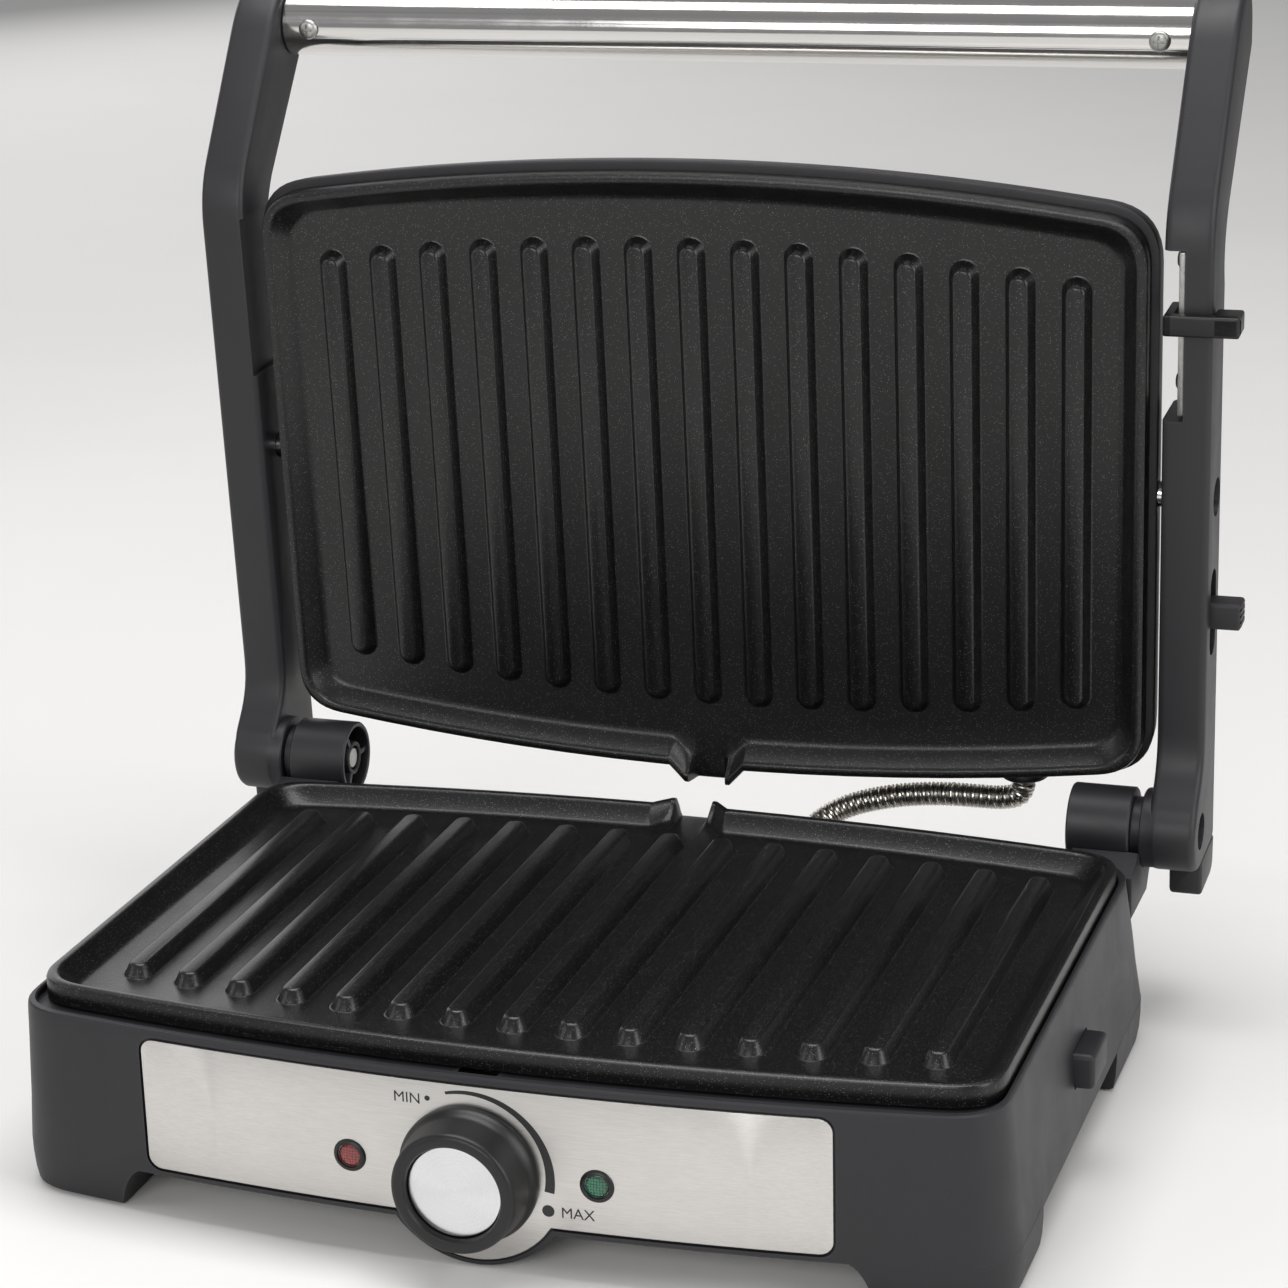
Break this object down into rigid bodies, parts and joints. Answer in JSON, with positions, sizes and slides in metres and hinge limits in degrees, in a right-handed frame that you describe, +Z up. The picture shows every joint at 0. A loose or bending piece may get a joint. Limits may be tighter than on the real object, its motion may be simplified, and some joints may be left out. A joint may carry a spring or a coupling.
{
  "type": "panini press",
  "caption": "Contact grill with two ribbed lift-out plates, a base with steel front panel and control knob, and a floating lid on swing arms joined by a tubular handle.",
  "frame": {"origin": "on the table, under the middle of the lower cooking plate", "axes": "+Z up, -Y towards the user, +X the user's right"},
  "size_m": [0.3394, 0.2917, 0.3232],
  "materials": {
    "plastic": "fine textured dark grey moulding",
    "nonstick": "non-stick coating with fine sparkle on die-cast aluminium",
    "brushed_steel": "stainless sheet brushed along its length",
    "polished_steel": "polished tube",
    "zinc": "zinc-plated steel",
    "spun_aluminium": "spun face with fine rings",
    "rubber": "matt",
    "red_lens": "prismatic lamp lens",
    "green_lens": "prismatic lamp lens",
    "moulding": "heat-resistant moulding",
    "sheath": "coiled steel sheath"
  },
  "bodies": {
    "base": {"base_housing": "plastic", "bottom_cover": "zinc", "front_panel": "brushed_steel", "lower_reflector": "brushed_steel", "lower_element": "zinc", "thermostat": "moulding", "terminal_block": "moulding", "red_lens": "red_lens", "green_lens": "green_lens", "red_lamp_holder": "moulding", "green_lamp_holder": "moulding", "hinge_barrel_left": "plastic", "hinge_barrel_right": "plastic", "hinge_pin_left": "zinc", "hinge_pin_right": "zinc", "rubber_foot_1": "rubber", "rubber_foot_2": "rubber", "rubber_foot_3": "rubber", "rubber_foot_4": "rubber", "bottom_screw_1": "zinc", "bottom_screw_2": "zinc", "bottom_screw_3": "zinc", "bottom_screw_4": "zinc", "cord_inlet_bush": "rubber", "conduit_gland_base": "plastic", "release_guide": "zinc", "release_spring": "zinc", "conduit_lower": "sheath"},
    "lower_plate": {"lower_plate": "nonstick"},
    "knob": {"control_knob": "plastic", "knob_cap": "spun_aluminium", "thermostat_shaft": "zinc"},
    "release_button": {"plate_release_button": "plastic"},
    "arms": {"arm_left": "plastic", "arm_right": "plastic", "handle_tube": "polished_steel", "handle_screw_left": "zinc", "handle_screw_right": "zinc", "float_pin_left": "polished_steel", "float_pin_right": "polished_steel", "height_track": "zinc", "track_screw_1": "zinc", "track_screw_2": "zinc", "conduit_upper": "sheath"},
    "height_slider": {"height_slider": "plastic"},
    "lid_release": {"lid_release_slider": "plastic"},
    "lid_housing": {"upper_frame": "plastic", "top_cover": "brushed_steel", "upper_reflector": "brushed_steel", "upper_element": "zinc", "conduit_gland_lid": "plastic"},
    "upper_plate": {"upper_plate": "nonstick"}
  },
  "joints": [
    {"name": "lid_hinge", "type": "hinge", "parent": "base", "child": "arms", "pos_m": [0, 0.1105, 0.0652], "axis": [-1, 0, 0], "range_deg": [-86.5, 86.5], "deforming": ["conduit_lower"]},
    {"name": "lid_float", "type": "hinge", "parent": "arms", "child": "lid_housing", "pos_m": [0, 0.1208, 0.17203], "axis": [1, 0, 0], "range_deg": [0, 7], "deforming": ["conduit_upper"]},
    {"name": "lower_plate_lift", "type": "slide", "parent": "base", "child": "lower_plate", "axis": [0, 0, 1], "range_m": [0, 0.03]},
    {"name": "upper_plate_lift", "type": "slide", "parent": "lid_housing", "child": "upper_plate", "axis": [0, -0.9981, -0.061], "range_m": [0, 0.01]},
    {"name": "control_knob_turn", "type": "hinge", "parent": "base", "child": "knob", "pos_m": [0, -0.12, 0.0303], "axis": [0, 1, 0], "range_deg": [0, 144]},
    {"name": "plate_release_press", "type": "slide", "parent": "base", "child": "release_button", "axis": [-1, 0, 0], "range_m": [0, 0.0035], "stiffness_N_per_m": 300, "deforming": ["release_spring"]},
    {"name": "height_slide", "type": "slide", "parent": "arms", "child": "height_slider", "axis": [0, -0.061, 0.9981], "range_m": [-0.011, 0.011]},
    {"name": "lid_release_slide", "type": "slide", "parent": "arms", "child": "lid_release", "axis": [0, -0.061, 0.9981], "range_m": [-0.007, 0.007]}
  ]
}
